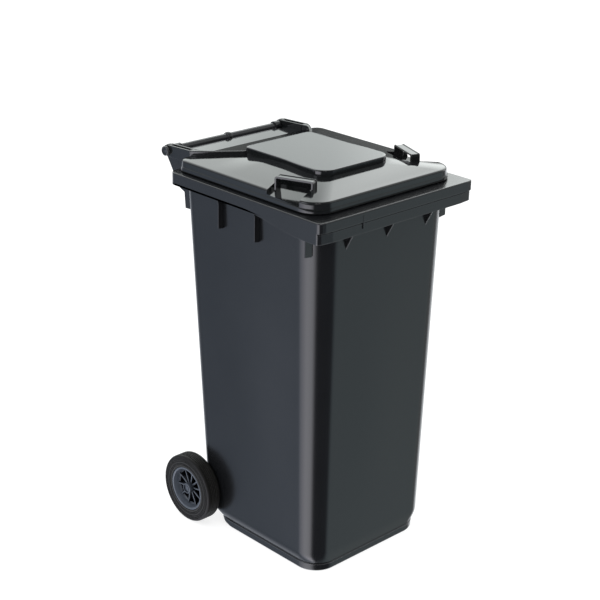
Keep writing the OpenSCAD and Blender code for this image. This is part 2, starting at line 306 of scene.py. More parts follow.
def ease(t):
    """Smooth step from 0 to 1."""
    t = min(max(t, 0), 1)
    return t * t * (3 - 2 * t)


def side_and_rear(half, start_y, rear, rear_r, bow=0):
    """Outline stations from the end of the front corner to the rear centre."""
    points = []
    end_y = rear - rear_r
    for i in range(SIDE_STEPS):
        t = i / SIDE_STEPS
        out = bow * (1 - math.cos(2 * math.pi * t)) / 2
        points.append((half + out, start_y + (end_y - start_y) * t))
    for i in range(REAR_CORNER_STEPS):
        a = math.pi / 2 * i / REAR_CORNER_STEPS
        points.append((half - rear_r + rear_r * math.cos(a), end_y + rear_r * math.sin(a)))
    for i in range(REAR_STEPS + 1):
        points.append(((half - rear_r) * (1 - i / REAR_STEPS), rear))
    return points


def plan_half(half, front, rear, front_r, rear_r, bow=0):
    """Half outline with round corners, from the front centre to the rear centre."""
    points = []
    for i in range(FRONT_STEPS):
        t = i / FRONT_STEPS
        out = bow * (1 + math.cos(math.pi * t)) / 2
        points.append(((half - front_r) * t, front - out))
    for i in range(CORNER_STEPS):
        a = math.pi / 2 * i / CORNER_STEPS
        points.append((half - front_r + front_r * math.sin(a), front + front_r - front_r * math.cos(a)))
    return points + side_and_rear(half, front + front_r, rear, rear_r, bow)


def full_ring(half_outline, height):
    """Closed ring from a half outline; height is a number or a function of (x, y)."""
    def level(x, y):
        return height(x, y) if callable(height) else height
    right = [(x, y, level(x, y)) for x, y in half_outline]
    left = [(-x, y, z) for x, y, z in reversed(right[1:-1])]
    return right + left


def loft(name, rings):
    """Closed skin over rings of equal length, its ends closed by cross strips."""
    count = len(rings[0])
    faces = side_faces(count, len(rings))
    stations = count // 2
    for first in (0, (len(rings) - 1) * count):
        for i in range(stations):
            strip = [first + i, first + i + 1, first + count - i - 1, first + (count - i) % count]
            if i == 0:
                strip = strip[:3]
            if i == stations - 1:
                strip = [strip[0], strip[1], strip[3]]
            faces.append(tuple(strip))
    return make_object(name, [p for ring in rings for p in ring], faces)


# ------------------------------------------------------------------ tub

# The wall's insets from the rim and its corner radius hold at WALL_LOW_Z; the drafts
# are its growth per millimetre of height.
WALL_LOW_Z = 60
SIDE_INSET = 60.7
SIDE_DRAFT = 0.0263
FRONT_INSET = 60
FRONT_DRAFT = 0.0193
REAR_INSET = 67
REAR_DRAFT = 0.0509
FRONT_CORNER_R = 58
CORNER_DRAFT = 0.0145
REAR_CORNER_R = 35
WALL_BOW = 2
BOW_H = 900

FOOT_H = 24
FOOT_HALF = HALF_W - 71.5
FOOT_FRONT_Y = FRONT_Y + 62
FOOT_REAR_Y = FRONT_Y + 466
FOOT_CORNER_R = 66
CURL_L = 58             # the foot's underside curls up over this length
CURL_H = 30
SHOULDER_H = 34
HEEL_Z = 70

BAND_LOW_Z = RIM_Z - 57
BAND_HIGH_Z = RIM_Z - 32
BAND_CURVE = (FRONT_Y + 48, FRONT_Y + 293)
GROOVE_Z = RIM_Z - 30
SKIRT_T = 3.5
RIM_CORNER_R = 25
RIB_T = 4
BRACKET_Z = 921             # lower edge of the rear brackets
BRACKET_STEP_Z = 966        # height where they leave the vertical
BRACKET_DEPTH = 36
LUG_R = 20
UPPER_CHAMFER = (20, 3)     # width and depth of the comb bands' slanted ends
LOWER_CHAMFER = (46, 5)

# (height, inset) up the foot: rounded lower edge, straight side and bead.
FOOT_PROFILE = ((0, 6), (0.6, 3.6), (2, 1.6), (4, 0.4), (6.5, 0), (10, 0), (16, 0), (19, 0),
                (19.6, -0.6), (20.8, -1.1), (22, -1), (23, -0.5), (23.6, 0.4))
# Rises above the foot at which the shoulder has a ring, and heights at which the wall has one.
SHOULDER_RISES = (0.6, 1.5, 3, 5, 7, 10, 14, 19, 25, 30, 34, 40)
WALL_HEIGHTS = (HEEL_Z, 90, 140, 200, 300, 400, 500, 600, 700, 800, 860, 920, 960, 1000,
                RIM_Z - WALL)
# (rise, inset) round the band's lower edge, from its inside to its outside.
BAND_EDGE = ((2, SKIRT_T + 2), (0.4, SKIRT_T + 1), (0, 2.4), (0, 1.4), (0.4, 0.4), (1.2, 0),
             (4, 0))
# (height over the groove, how far sunk, is it the upper band) up the comb's face.
COMB_FACE = ((-3.5, 2, False), (-0.6, 2, False), (-0.2, 2.2, False), (0.1, 3.4, False),
             (2.6, 3.4, False), (2.9, 0.8, True), (3.2, 0.2, True), (3.9, 0, True),
             (6.5, 0, True))
# (drop, inset) over the rim's outer edge and then down its inner one.
RIM_EDGE = ((6, 0), (3, 0), (1.9, 0.25), (0.9, 0.9), (0.25, 1.9), (0, 3), (0, 6))
MOUTH_EDGE = ((0, 1), (0.4, 2.6), (1.5, 3.6), (3, WALL))
INNER_HEIGHTS = (900, 700, 500, 300, 140, 90)


def wall_half(z):
    """Half width of the wall at a height."""
    return HALF_W - SIDE_INSET + SIDE_DRAFT * (z - WALL_LOW_Z)


def wall_front(z):
    """Front face of the wall at a height."""
    return FRONT_Y + FRONT_INSET - FRONT_DRAFT * (z - WALL_LOW_Z)


def wall_rear(z):
    """Rear face of the wall at a height."""
    return RIM_REAR_Y - REAR_INSET + REAR_DRAFT * (z - WALL_LOW_Z)


def wall_plan(z, inset=0):
    """Half outline of the tapered wall; its flats bow out a little at mid height."""
    bow = WALL_BOW * math.sin(math.pi * min(max((z - WALL_LOW_Z) / BOW_H, 0), 1))
    corner = FRONT_CORNER_R + CORNER_DRAFT * (z - WALL_LOW_Z) - inset
    return plan_half(wall_half(z) - inset, wall_front(z) + inset, wall_rear(z) - inset,
                     corner, REAR_CORNER_R - inset, bow)


def foot_plan(inset):
    """Half outline of the foot."""
    return plan_half(FOOT_HALF - inset, FOOT_FRONT_Y + inset, FOOT_REAR_Y - inset,
                     FOOT_CORNER_R - inset, REAR_CORNER_R - inset)


def heel_lift(y):
    """Height of the foot's underside, which curls up at the rear."""
    t = min(max((y - (FOOT_REAR_Y - CURL_L)) / CURL_L, 0), 1)
    return CURL_H * t ** 1.8


def foot_level(z):
    """Height function of a foot ring, squeezed where the underside rises."""
    return lambda x, y: heel_lift(y) + z * (1 - 0.9 * heel_lift(y) / CURL_H)


def shoulder_plan(z):
    """Outline where the wall rounds in over the foot."""
    neck_half = FOOT_HALF - 1
    neck_front = FOOT_FRONT_Y + 1
    neck_rear = FOOT_REAR_Y - 2
    out = math.sin(math.pi / 2 * min((z - FOOT_H) / SHOULDER_H, 1))
    slope = (z - FOOT_H) / (HEEL_Z - FOOT_H)
    half = neck_half + (wall_half(z) - neck_half) * out
    front = neck_front + (wall_front(z) - neck_front) * out
    rear = neck_rear + (wall_rear(HEEL_Z) - neck_rear) * slope
    return plan_half(half, front, rear, FOOT_CORNER_R - 2 - 6 * out, REAR_CORNER_R)


def band_low(x, y):
    """Lower edge of the rim's band, which sweeps down to the comb."""
    front, rear = BAND_CURVE
    t = min(max((y - front) / (rear - front), 0), 1)
    return BAND_LOW_Z + (BAND_HIGH_Z - BAND_LOW_Z) * (1 - math.cos(math.pi * t)) / 2


def rim_plan(inset, upper=False, sunk=0):
    """Half outline of the rim, sunk back only across the comb's face."""
    chamfer_w, chamfer_d = UPPER_CHAMFER if upper else LOWER_CHAMFER
    near_steps = 9
    half = HALF_W - inset
    front = FRONT_Y + inset
    near = (half - chamfer_w, front)
    far = (half, front + chamfer_d)
    arc_near = fillet((0, front), near, far, 8, near_steps)
    arc_far = fillet(near, far, (half, 0), 12 - inset, CORNER_STEPS - near_steps - 1)
    points = [(arc_near[0][0] * i / FRONT_STEPS, front) for i in range(FRONT_STEPS)]
    points += arc_near + arc_far[:-1]
    points += side_and_rear(half, arc_far[-1][1], RIM_REAR_Y - inset, RIM_CORNER_R - inset)
    return [(x, y + sunk * (1 - ease((y - FRONT_Y - 5) / 9))) for x, y in points]


def tub_floor():
    """Rings of the hollow's floor, which follows the heel down to the foot."""
    return [full_ring(plan_half(half, FRONT_Y + front, rear, FRONT_CORNER_R, 30), z)
            for half, front, rear, z in ((HALF_W - 66, 68, wall_rear(76) - 6, HEEL_Z + 8),
                                         (HALF_W - 76, 70, FOOT_REAR_Y - 4, 42),
                                         (HALF_W - 80, 72, FOOT_REAR_Y - 12, 36))]


def band_ring(lift, inset):
    """Ring that follows the band's lower edge."""
    return full_ring(rim_plan(inset, sunk=2), lambda x, y: band_low(x, y) + lift)


def build_tub():
    """Foot, wall, flange, hanging band and hollow of the container as one skin."""
    under_flange = RIM_Z - WALL
    rings = [full_ring(foot_plan(inset), foot_level(z)) for z, inset in FOOT_PROFILE]
    rings += [full_ring(shoulder_plan(FOOT_H + rise), FOOT_H + rise) for rise in SHOULDER_RISES]
    rings += [full_ring(wall_plan(z), z) for z in WALL_HEIGHTS]
    rings += [full_ring(rim_plan(SKIRT_T + 2.5), under_flange)]
    rings += [band_ring(lift, inset) for lift, inset in BAND_EDGE]
    rings += [full_ring(rim_plan(0, upper, sunk), GROOVE_Z + z) for z, sunk, upper in COMB_FACE]
    rings += [full_ring(rim_plan(inset, True), RIM_Z - drop) for drop, inset in RIM_EDGE]
    rings += [full_ring(wall_plan(RIM_Z, inset), RIM_Z - drop) for drop, inset in MOUTH_EDGE]
    rings += [full_ring(wall_plan(z, WALL), z) for z in INNER_HEIGHTS]
    rings += tub_floor()
    tub = loft("tub", rings)
    shade(tub, 40)
    return tub


def side_rib(name, side, y, bottom, sunk):
    """Rib that props the hanging band off the side wall; its root is sunk into the wall."""
    root = wall_half(bottom) - sunk
    out = HALF_W - 22
    under_band = HALF_W - 3
    top = RIM_Z - 2
    outline = [(root, bottom), (out, bottom + 3), (out, RIM_Z - 52), (out + 3, RIM_Z - 44),
               (under_band - 4, RIM_Z - 36), (under_band, RIM_Z - 30), (under_band, top),
               (root, top)]
    rib = prism(name, outline, "Y", y - RIB_T / 2, y + RIB_T / 2)
    move(rib, side=side)
    round_edges(rib, 0.9)
    return rib


def comb_gusset(name, x):
    """Gusset between the comb's lower edge and the front wall."""
    top = RIM_Z - 45
    bottom = RIM_Z - 108
    root = wall_front(bottom + 4)
    outline = [(FRONT_Y + 5, top), (FRONT_Y + 16, BAND_LOW_Z), (root + 1, bottom), (root + 2, top)]
    gusset = prism(name, outline, "X", x - RIB_T / 2, x + RIB_T / 2)
    round_edges(gusset, 0.9)
    return gusset


def comb_web(name, x):
    """Web behind the comb's face."""
    half_t = 1.5
    front = FRONT_Y + SKIRT_T + 1
    rear = wall_front(RIM_Z) + 2
    low = RIM_Z - 38
    high = RIM_Z - 2
    outline = [(front, low), (rear, low), (rear, high), (front, high)]
    web = prism(name, outline, "X", x - half_t, x + half_t)
    round_edges(web, 0.5)
    return web


def comb_tab(name, x):
    """Small raised tab that bridges the comb's groove."""
    half_w = 2.5
    low = RIM_Z - 44
    high = RIM_Z - 8
    outline = rounded([(x - half_w, low, 2), (x + half_w, low, 2),
                       (x + half_w, high, 2), (x - half_w, high, 2)])
    tab = prism(name, outline, "Y", FRONT_Y - 0.8, FRONT_Y + 4)
    round_edges(tab, 0.4)
    return tab


def bracket_outline(r):
    """Outline in (y, z) of a bracket that carries the bar in an eye of radius r."""
    root = wall_rear(960) - 2
    rear = root + BRACKET_DEPTH
    inside = wall_rear(RIM_Z) - 2
    outline = [(root, BRACKET_Z + 3), (rear, BRACKET_Z), (rear, BRACKET_STEP_Z)]
    outline += eye_arc(r, -80, 200)
    outline += [(RIM_REAR_Y - 4, RIM_Z), (inside, RIM_Z), (inside, RIM_Z - 20)]
    return outline


def hinge_bracket(name, side, low, high, r):
    """Bracket between x = low and high, mirrored to the left for side -1."""
    bracket = prism(name, bracket_outline(r), "X", low, high)
    move(bracket, side=side)
    round_edges(bracket, 1.5)
    return bracket


def corner_plate(name, side):
    """Plate at the rear corner, from under the rim band up to the hinge pin."""
    clearance = 1.5
    root = wall_rear(925)
    outline = [(root - 2, BRACKET_Z + 3), (root + 40, BRACKET_Z), (root + 44, BRACKET_STEP_Z),
               (root + 66, BRACKET_STEP_Z + 9)]
    outline += eye_arc(EYE_R - 2, -28, 150)
    outline += [(RIM_REAR_Y - 2, RIM_Z - 2), (wall_rear(RIM_Z) - 2, RIM_Z - 2)]
    low = ARM_IN + WEB_T + clearance
    high = ARM_OUT - WEB_T - clearance
    plate = prism(name, outline, "X", low, high)
    bore_hinge(plate, low, high)
    move(plate, side=side)
    round_edges(plate, 1.2)
    shade(plate)
    return plate


def axle_lug(name, side, x):
    """Lug behind the rear wall that holds the axle."""
    width = 26
    top = 170
    outline = [(wall_rear(HEEL_Z) - 2, HEEL_Z + 2)]
    outline += arc_about(AXLE_Y, AXLE_Z, LUG_R, -75, 45)
    outline += [(wall_rear(top) - 2, top)]
    lug = prism(name, outline, "X", x, x + width)
    move(lug, side=side)
    round_edges(lug, 1.5)
    return lug


# ------------------------------------------------------------------- lid

LID_HALF = HALF_W - 20
LID_FRONT_Y = FRONT_Y + 40
LID_REAR_Y = RIM_REAR_Y - 9
PANEL_HALF = 127
PANEL_FRONT_Y = LID_FRONT_Y + 118
PANEL_REAR_Y = PANEL_FRONT_Y + 312
FLAP_Z = HINGE_Z
FLAP_REAR_Y = HINGE_Y - 26
RIDGE_W = 12            # least width of the ridges to the hinge arms
RIDGE_SWEEP = 95        # how far they sweep out between the panel and the arms
GRIP_X = 208            # centre and turn of the right grip
GRIP_Y = FRONT_Y + 170
GRIP_TURN = math.radians(21.7)
STRAP_L = 106
STRAP_W = 27
STRAP_TOP_Z = PANEL_Z - 3
POCKET_Z = LID_Z + 19
POCKET_IN = -38         # the finger pocket's inner edge in the grip's own axes

# (height, inset) up the lid's skirt: flared lip, groove, straight side and rounded edge.
SKIRT_PROFILE = ((0, 3.5), (0, 1.6), (0.4, 0.7), (1.4, 0.1), (2.8, 0), (9.5, 0.9), (10.8, 1.2),
                 (11.3, 1.7), (11.8, 2.3), (13, 2.7), (20, 3.1), (25, 3.6), (27, 4.3),
                 (28.6, 5.8), (29.6, 8.4), (30, 11.8))
CROWN_RINGS = 12
# (height over the lid's top, inset) up the panel's drafted side and rounded edge.
PANEL_PROFILE = ((-8, 0), (-1, 0), (13.8, 0.4), (15.2, 0.8), (16.1, 1.6), (16.6, 2.8),
                 (PANEL_H, 5), (PANEL_H, 9))


def lid_plan(inset):
    """Half outline of the lid's skirt."""
    return plan_half(LID_HALF - inset, LID_FRONT_Y + inset, LID_REAR_Y - inset * 0.6,
                     62 - inset * 0.6, 30 - inset * 0.6)


def crown_plan(t, inset=0):
    """Outline part way up the sloping top: t is 0 at the edge and 1 at the panel."""
    def mix(a, b):
        return a + (b - a) * t
    return plan_half(mix(LID_HALF - 12.5, PANEL_HALF + 6) - inset,
                     mix(LID_FRONT_Y + 12.5, PANEL_FRONT_Y - 8) + inset,
                     mix(LID_REAR_Y - 9, PANEL_REAR_Y + 8) - inset,
                     mix(55, 46), mix(24, 20))


def crown_level(rise, lower=0):
    """Height function of the sloping top, which lies lower behind the panel's middle."""
    def level(x, y):
        full = LID_TOP_Z - LID_EDGE_Z - 5 * ease((y - 20) / 100)
        return LID_EDGE_Z + full * rise - lower
    return level


def lid_outer():
    """Skirt with a flared lip, rounded edge and domed top."""
    rings = [full_ring(lid_plan(inset), LID_Z + z) for z, inset in SKIRT_PROFILE]
    for i in range(1, CROWN_RINGS + 1):
        t = i / CROWN_RINGS
        rise = 1 - (1 - t) ** 1.2
        rings.append(full_ring(crown_plan(t), crown_level(rise)))
    return loft("lid_shell", rings)


def lid_inner():
    """Hollow under the lid's top."""
    skirt = ((-3, 0.4), (6, 0.4), (22, 6))
    rings = [full_ring(lid_plan(WALL + inset), LID_Z + z) for z, inset in skirt]
    rings += [full_ring(crown_plan(t, WALL), crown_level(t, WALL)) for t in (0, 1)]
    return loft("lid_hollow", rings)


def grip_point(u, v):
    """Plan position of a point in the right grip's own axes."""
    return (GRIP_X - u * math.sin(GRIP_TURN) + v * math.cos(GRIP_TURN),
            GRIP_Y - u * math.cos(GRIP_TURN) - v * math.sin(GRIP_TURN))


def pocket_floor(v):
    """Height of the finger pocket's floor, which slopes down to the lid's edge."""
    return POCKET_Z + 7 - 0.12 * (v - POCKET_IN)


def grip_block(name, side, corners, drop, high):
    """Prism in a grip's axes from (u, v, radius) corners; its floor is drop below the pocket's."""
    outline = rounded(corners)
    low_ring = [(*grip_point(u, v), pocket_floor(v) - drop) for u, v in outline]
    high_ring = [(*grip_point(u, v), high) for u, v in outline]
    block = skin(name, [low_ring, high_ring])
    move(block, side=side)
    clean(block.data)
    return block


def pocket_corners(margin):
    """Corners of the finger pocket in the grip's axes; it runs out past the lid's edge."""
    rear = -64 - margin
    front = 46 + margin
    inner = POCKET_IN - margin
    past_edge = 120
    return [(rear, inner, 8 + margin), (front, inner, 8 + margin),
            (front, past_edge, 0), (rear, past_edge, 0)]


def build_lid_shell():
    """Hollow lid with a tray under each finger pocket."""
    shell = lid_outer()
    hollow = lid_inner()
    trays = []
    cuts = []
    for name, side in SIDES.items():
        trays.append(grip_block("tray_" + name, side, pocket_corners(WALL), WALL, PANEL_Z + 20))
        cuts.append(grip_block("cut_" + name, side, pocket_corners(0), 0, PANEL_Z + 10))
    cut_away(hollow, trays)
    cut_away(shell, [hollow] + cuts)
    shade(shell, 30)
    return shell


def panel_plan(inset):
    """Outline of the panel, which widens a little toward its front."""
    outline = plan_half(PANEL_HALF - 5 - inset, PANEL_FRONT_Y - 6 + inset,
                        PANEL_REAR_Y - 7 - inset, 40 - inset, 18 - inset)
    return [(x * (1 + 0.05 * ease((-20 - y) / 100)), y) for x, y in outline]


def build_panel():
    """Raised centre panel with drafted sides and a rounded upper edge."""
    rings = [full_ring(panel_plan(inset), LID_TOP_Z + z) for z, inset in PANEL_PROFILE]
    panel = loft("lid_panel", rings)
    shade(panel, 50)
    return panel


def ridge_section(t, y):
    """Section of a ridge: t is 0 at the panel and 1 at the hinge arm."""
    outer = ARM_OUT - RIDGE_SWEEP * (1 - t) ** 1.35
    inner = min(outer - RIDGE_W, ARM_IN)
    top = PANEL_Z - 12 - 6 * t
    edge = min(3, (outer - inner) / 3)
    half = [(outer, LID_EDGE_Z - 2), (outer, top - edge),
            (outer - 0.3 * edge, top - 0.3 * edge), (outer - edge, top)]
    other_half = [(inner + outer - x, z) for x, z in reversed(half)]
    return [(x, y, z) for x, z in half + other_half]


def build_ridge(name, side):
    """Raised ridge that sweeps from the panel's rear corner back to the hinge arm."""
    steps = 24
    start = PANEL_REAR_Y - 12
    stations = [i / steps for i in range(steps + 1)]
    ridge = skin(name, [ridge_section(t, start + (LID_REAR_Y - start) * t) for t in stations])
    move(ridge, side=side)
    shade(ridge, 50)
    return ridge


def build_rear_flap():
    """Low flap between the hinge arms, reaching back toward the handle bar."""
    half = ARM_IN + WEB_T
    front = LID_REAR_Y - 12
    outline = rounded([(-half, front, 0), (half, front, 0),
                       (half, FLAP_REAR_Y, 8), (-half, FLAP_REAR_Y, 8)], 6)
    flap = prism("lid_rear_flap", outline, "Z", FLAP_Z - WALL, FLAP_Z)
    round_edges(flap, 1.2)
    shade(flap)
    return flap


def build_arm(name, side):
    """Hinge arm of the lid: two webs that straddle the container's corner plate."""
    r = EYE_R - 3
    root = LID_REAR_Y - 3
    outline = [(root, HINGE_Z - r)] + eye_arc(r, -90, 90) + [(root, PANEL_Z - 18.5)]
    webs = []
    for low, high in ((ARM_IN, ARM_IN + WEB_T), (ARM_OUT - WEB_T, ARM_OUT)):
        web = prism(name, outline, "X", low, high)
        bore_hinge(web, low, high)
        round_edges(web, 1.2)
        shade(web)
        webs.append(web)
    arm = join(name, webs)
    move(arm, side=side)
    return arm


def sweep(name, path, section):
    """Closed section swept along a path of (point, sideways, outward) frames."""
    return skin(name, [[p + side * a + out * b for a, b in section] for p, side, out in path])


def strap_arch():
    """Path of a grip strap over its pocket, as points along the strap and up."""
    half = STRAP_L / 2
    foot = POCKET_Z - 1
    bend = 7
    rear_bend = fillet((-half, 0), (-half, STRAP_TOP_Z), (half, STRAP_TOP_Z), bend, 8)
    front_bend = fillet((-half, STRAP_TOP_Z), (half, STRAP_TOP_Z), (half, 0), bend, 8)
    return [(-half, foot)] + rear_bend + front_bend + [(half, foot)]


def strap_section():
    """Section of a grip strap: a flat band with a shallow channel along its top."""
    thick = 5
    channel = 1.8
    right = STRAP_W / 2 - 4
    left = right - STRAP_W
    return [(left, -thick), (right, -thick), (right, 0), (right - 3, 0), (right - 4, -channel),
            (left + 4, -channel), (left + 3, 0), (left, 0)]


def build_strap(name, side):
    """Grip strap: a channelled arch on two legs over the finger pocket."""
    arch = strap_arch()
    across = Vector((math.cos(GRIP_TURN), -math.sin(GRIP_TURN), 0))
    path = []
    for i, (u, z) in enumerate(arch):
        before, after = arch[max(i - 1, 0)], arch[min(i + 1, len(arch) - 1)]
        along = Vector((after[0] - before[0], after[1] - before[1])).normalized()
        out_u, out_z = -along.y, along.x
        x, y = grip_point(u, 0)
        out = Vector((-out_u * math.sin(GRIP_TURN), -out_u * math.cos(GRIP_TURN), out_z))
        path.append((Vector((x, y, z)), across, out))
    strap = sweep(name, path, strap_section())
    move(strap, side=side)
    clean(strap.data)
    round_edges(strap, 0.7, 2)
    shade(strap)
    return strap


# ------------------------------------------------------------------ wheels

TYRE_IN = tyre_low.x
TYRE_OUT = tyre_high.x
WHEEL_R = (tyre_high.z - tyre_low.z) / 2
RIM_R = 66              # seat of the tyre on the wheel
LIP_R = 64.5            # outer lip of the wheel's dish
DISH_R = 51             # opening at the bottom of the dish
HUB_R = 15.5
COUNTERBORE_R = 12.7
AXLE_BORE_R = 10.1
SPOKES = 10
FIRST_SPOKE = 10        # degrees
TYRE_EDGE_R = 7
TREAD_GROOVES = (0.24, 0.37, 0.5, 0.63, 0.76)   # as shares of the tyre's width
OUTER_RINGS = (91, 87, 83, 76, 72)              # radii of the side wall's rings
INNER_RINGS = (71, 78)
PIN_R = 8
PIN_HEAD_R = 13.4
BAR_R = 10


def wheel_barrel():
    """Barrel of a wheel with its lip and dished opening."""
    out = TYRE_OUT
    barrel = turned("barrel", [
        (TYRE_IN + 6, DISH_R), (TYRE_IN + 3, RIM_R - 6), (TYRE_IN + 3, RIM_R), (out - 8, RIM_R),
        (out - 4, LIP_R), (out - 1.2, LIP_R), (out - 0.5, LIP_R - 0.8), (out - 0.5, LIP_R - 3),
        (out - 1, LIP_R - 5), (out - 3, LIP_R - 6.5), (out - 15, DISH_R + 4.5),
        (out - 19, DISH_R + 2), (out - 21, DISH_R)], 128)
    shade(barrel, 40)
    return barrel


def wheel_hub():
    """Hub of a wheel with the counterbore that its cap closes."""
    low = wheel_low.x
    high = wheel_high.x
    hub = turned("hub", [
        (low, AXLE_BORE_R), (low, HUB_R - 1), (low + 1, HUB_R), (high - 1.5, HUB_R),
        (high - 0.4, HUB_R - 0.5), (high, HUB_R - 1.6), (high, COUNTERBORE_R),
        (high - 9, COUNTERBORE_R), (high - 9, AXLE_BORE_R)], 64)
    shade(hub, 40)
    return hub


def wheel_spoke(turn):
    """Spoke that tapers from the hub to the dish, turned about the axle in degrees."""
    inner = HUB_R - 2
    outer = DISH_R + 5
    outline = [(-2.4, inner), (-1.7, outer), (1.7, outer), (2.4, inner)]
    spoke = prism("spoke", outline, "X", TYRE_IN + 8, TYRE_OUT - 15)
    spoke.data.transform(Matrix.Rotation(math.radians(turn), 4, "X"))
    round_edges(spoke, 1.2)
    return spoke


def build_wheel(name, side):
    """Barrel, hub and spokes of a wheel."""
    parts = [wheel_barrel(), wheel_hub()]
    parts += [wheel_spoke(FIRST_SPOKE + 360 * i / SPOKES) for i in range(SPOKES)]
    wheel = join(name, parts)
    move(wheel, y=AXLE_Y, z=AXLE_Z, side=side)
    return wheel


def build_tyre(name, side):
    """Solid tyre with side-wall rings and tread grooves."""
    seat = RIM_R + 0.05
    steps = 8
    angles = [math.pi / 2 * i / steps for i in range(steps + 1)]
    edge = [(TYRE_EDGE_R * (1 - math.sin(a)), WHEEL_R - TYRE_EDGE_R * (1 - math.cos(a)))
            for a in angles]
    profile = [(TYRE_IN, seat)]
    for r in INNER_RINGS:
        profile += [(TYRE_IN, r - 0.8), (TYRE_IN + 0.6, r), (TYRE_IN, r + 0.8)]
    profile += [(TYRE_IN + x, r) for x, r in reversed(edge)]
    for share in TREAD_GROOVES:
        x = TYRE_IN + (TYRE_OUT - TYRE_IN) * share
        bottom = WHEEL_R - 2.4
        profile += [(x - 1.9, WHEEL_R), (x - 1.2, bottom), (x + 1.2, bottom), (x + 1.9, WHEEL_R)]
    profile += [(TYRE_OUT - x, r) for x, r in edge]
    for r in OUTER_RINGS:
        x = TYRE_OUT - 1.5
        profile += [(TYRE_OUT, r + 1.2), (x, r + 0.4), (x, r - 0.4), (TYRE_OUT, r - 1.2)]
    profile += [(TYRE_OUT, seat), (TYRE_OUT - 8, seat)]
    tyre = turned(name, profile, 128)
    move(tyre, y=AXLE_Y, z=AXLE_Z, side=side)
    shade(tyre, 50)
    return tyre


def build_pin(name, side):
    """Round-headed hinge pin with a ring pressed into its face."""
    start = pin_low.x
    out = pin_high.x
    head = out - 8
    pin = turned(name, [
        (start, 0), (start, PIN_R - 1), (start + 1, PIN_R), (head, PIN_R),
        (head, PIN_HEAD_R - 0.6), (head + 0.6, PIN_HEAD_R), (out - 1.4, PIN_HEAD_R),
        (out - 0.4, PIN_HEAD_R - 0.6), (out, 11.8), (out, 10.6), (out - 0.6, 9.8),
        (out - 1.5, 9.2), (out - 1.5, 5), (out - 1, 4), (out - 1, 0)], 64)
    move(pin, y=HINGE_Y, z=HINGE_Z, side=side)
    shade(pin, 40)
    return pin


def build_bar():
    """Hinge and handle bar with a thicker collar at the middle."""
    end = bar_high.x
    half = [(end, PIN_R), (end, BAR_R - 0.8), (end - 0.8, BAR_R), (10, BAR_R), (8.8, 10.4),
            (8, 11.6), (7, 12.4)]
    profile = half + [(-x, r) for x, r in reversed(half)]
    bar = turned("hinge_bar", profile, 64)
    move(bar, y=HINGE_Y, z=HINGE_Z)
    shade(bar, 40)
    return bar


# --------------------------------------------------------------- materials


def node(tree, kind, **inputs):
    """Shader node with its inputs set by name."""
    made = tree.nodes.new(kind)
    for key, value in inputs.items():
        made.inputs[key.replace("_", " ")].default_value = value
    return made


def mix_colour(tree, factor, first, second):
    """Colour blended between two colours or sockets by a factor socket."""
    mix = tree.nodes.new("ShaderNodeMix")
    mix.data_type = "RGBA"
    tree.links.new(factor, mix.inputs["Factor"])
    for socket, colour in ((mix.inputs["A"], first), (mix.inputs["B"], second)):
        if isinstance(colour, bpy.types.NodeSocket):
            tree.links.new(colour, socket)
        else:
            socket.default_value = (*colour, 1)
    return mix.outputs["Result"]


def ramp(tree, value, low, high, start=0, end=1):
    """Value socket remapped so that low gives start and high gives end."""
    out = node(tree, "ShaderNodeMapRange", From_Min=low, From_Max=high, To_Min=start, To_Max=end)
    tree.links.new(value, out.inputs["Value"])
    return out.outputs["Result"]


def maths(tree, operation, first, second=None):
    """Maths node on sockets or numbers; gives its output socket."""
    made = tree.nodes.new("ShaderNodeMath")
    made.operation = operation
    for socket, value in zip(made.inputs, (first, second)):
        if isinstance(value, (int, float)):
            socket.default_value = value
        elif value is not None:
            tree.links.new(value, socket)
    return made.outputs[0]


# Near-black painted shade for a wheel's hollows, where the spokes and dish lie in shade.
HOLLOW_SHADE = (0.001, 0.001, 0.001)


